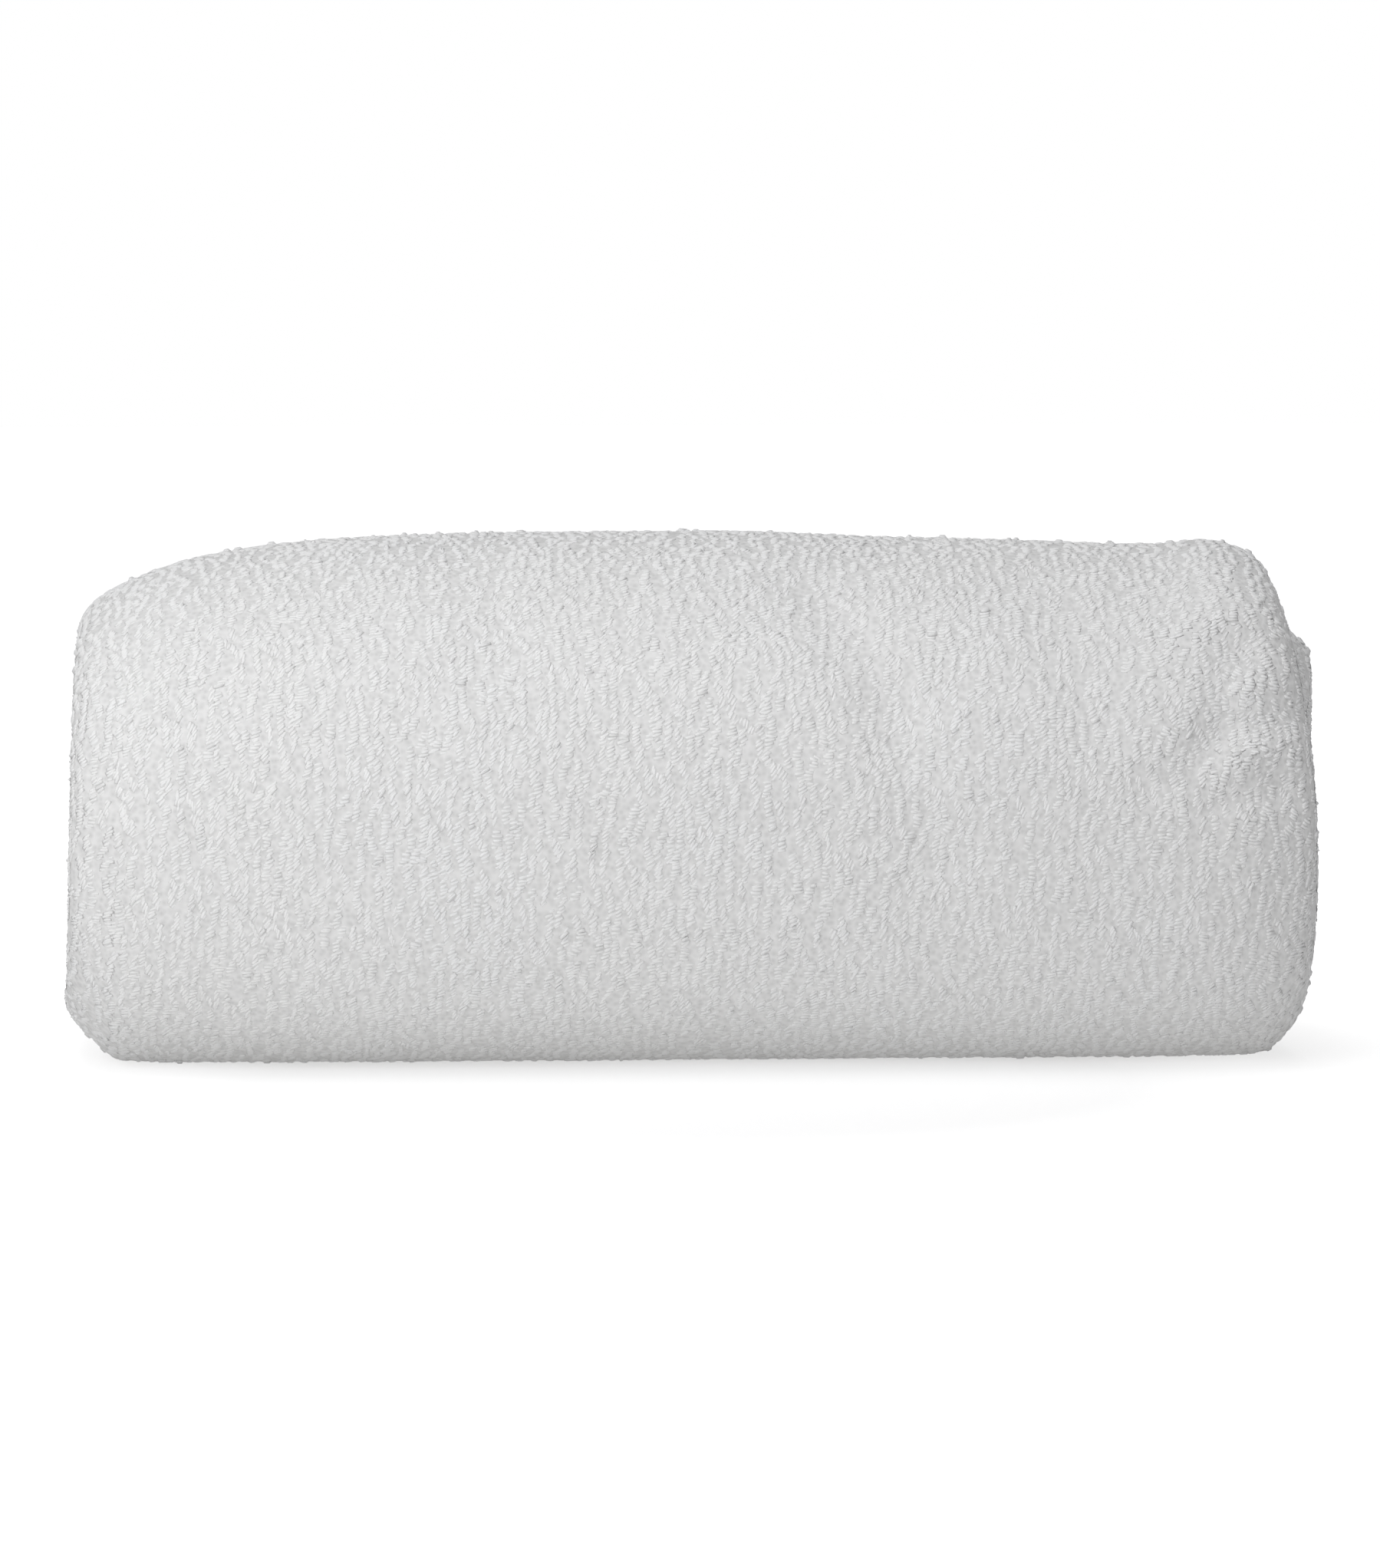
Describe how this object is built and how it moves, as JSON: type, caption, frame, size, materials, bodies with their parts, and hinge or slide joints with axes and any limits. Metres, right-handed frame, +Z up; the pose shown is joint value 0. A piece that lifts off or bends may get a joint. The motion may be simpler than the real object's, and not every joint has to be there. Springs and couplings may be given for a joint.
{
  "type": "rolled bath towel",
  "caption": "Plush white terry bath towel, folded lengthwise and rolled into a soft roll that lies on its side, with folded edges at both ends.",
  "frame": {"origin": "on the surface that the roll rests on, under the middle of its box", "axes": "+Z up, +X along the roll, -Y the front that faces the viewer; the loose end is on the back"},
  "size_m": [0.3552, 0.1693, 0.1493],
  "materials": {
    "terry_cloth": "looped cotton pile, matt, white"
  },
  "bodies": {
    "root": {"towel_roll": "terry_cloth"}
  },
  "joints": []
}
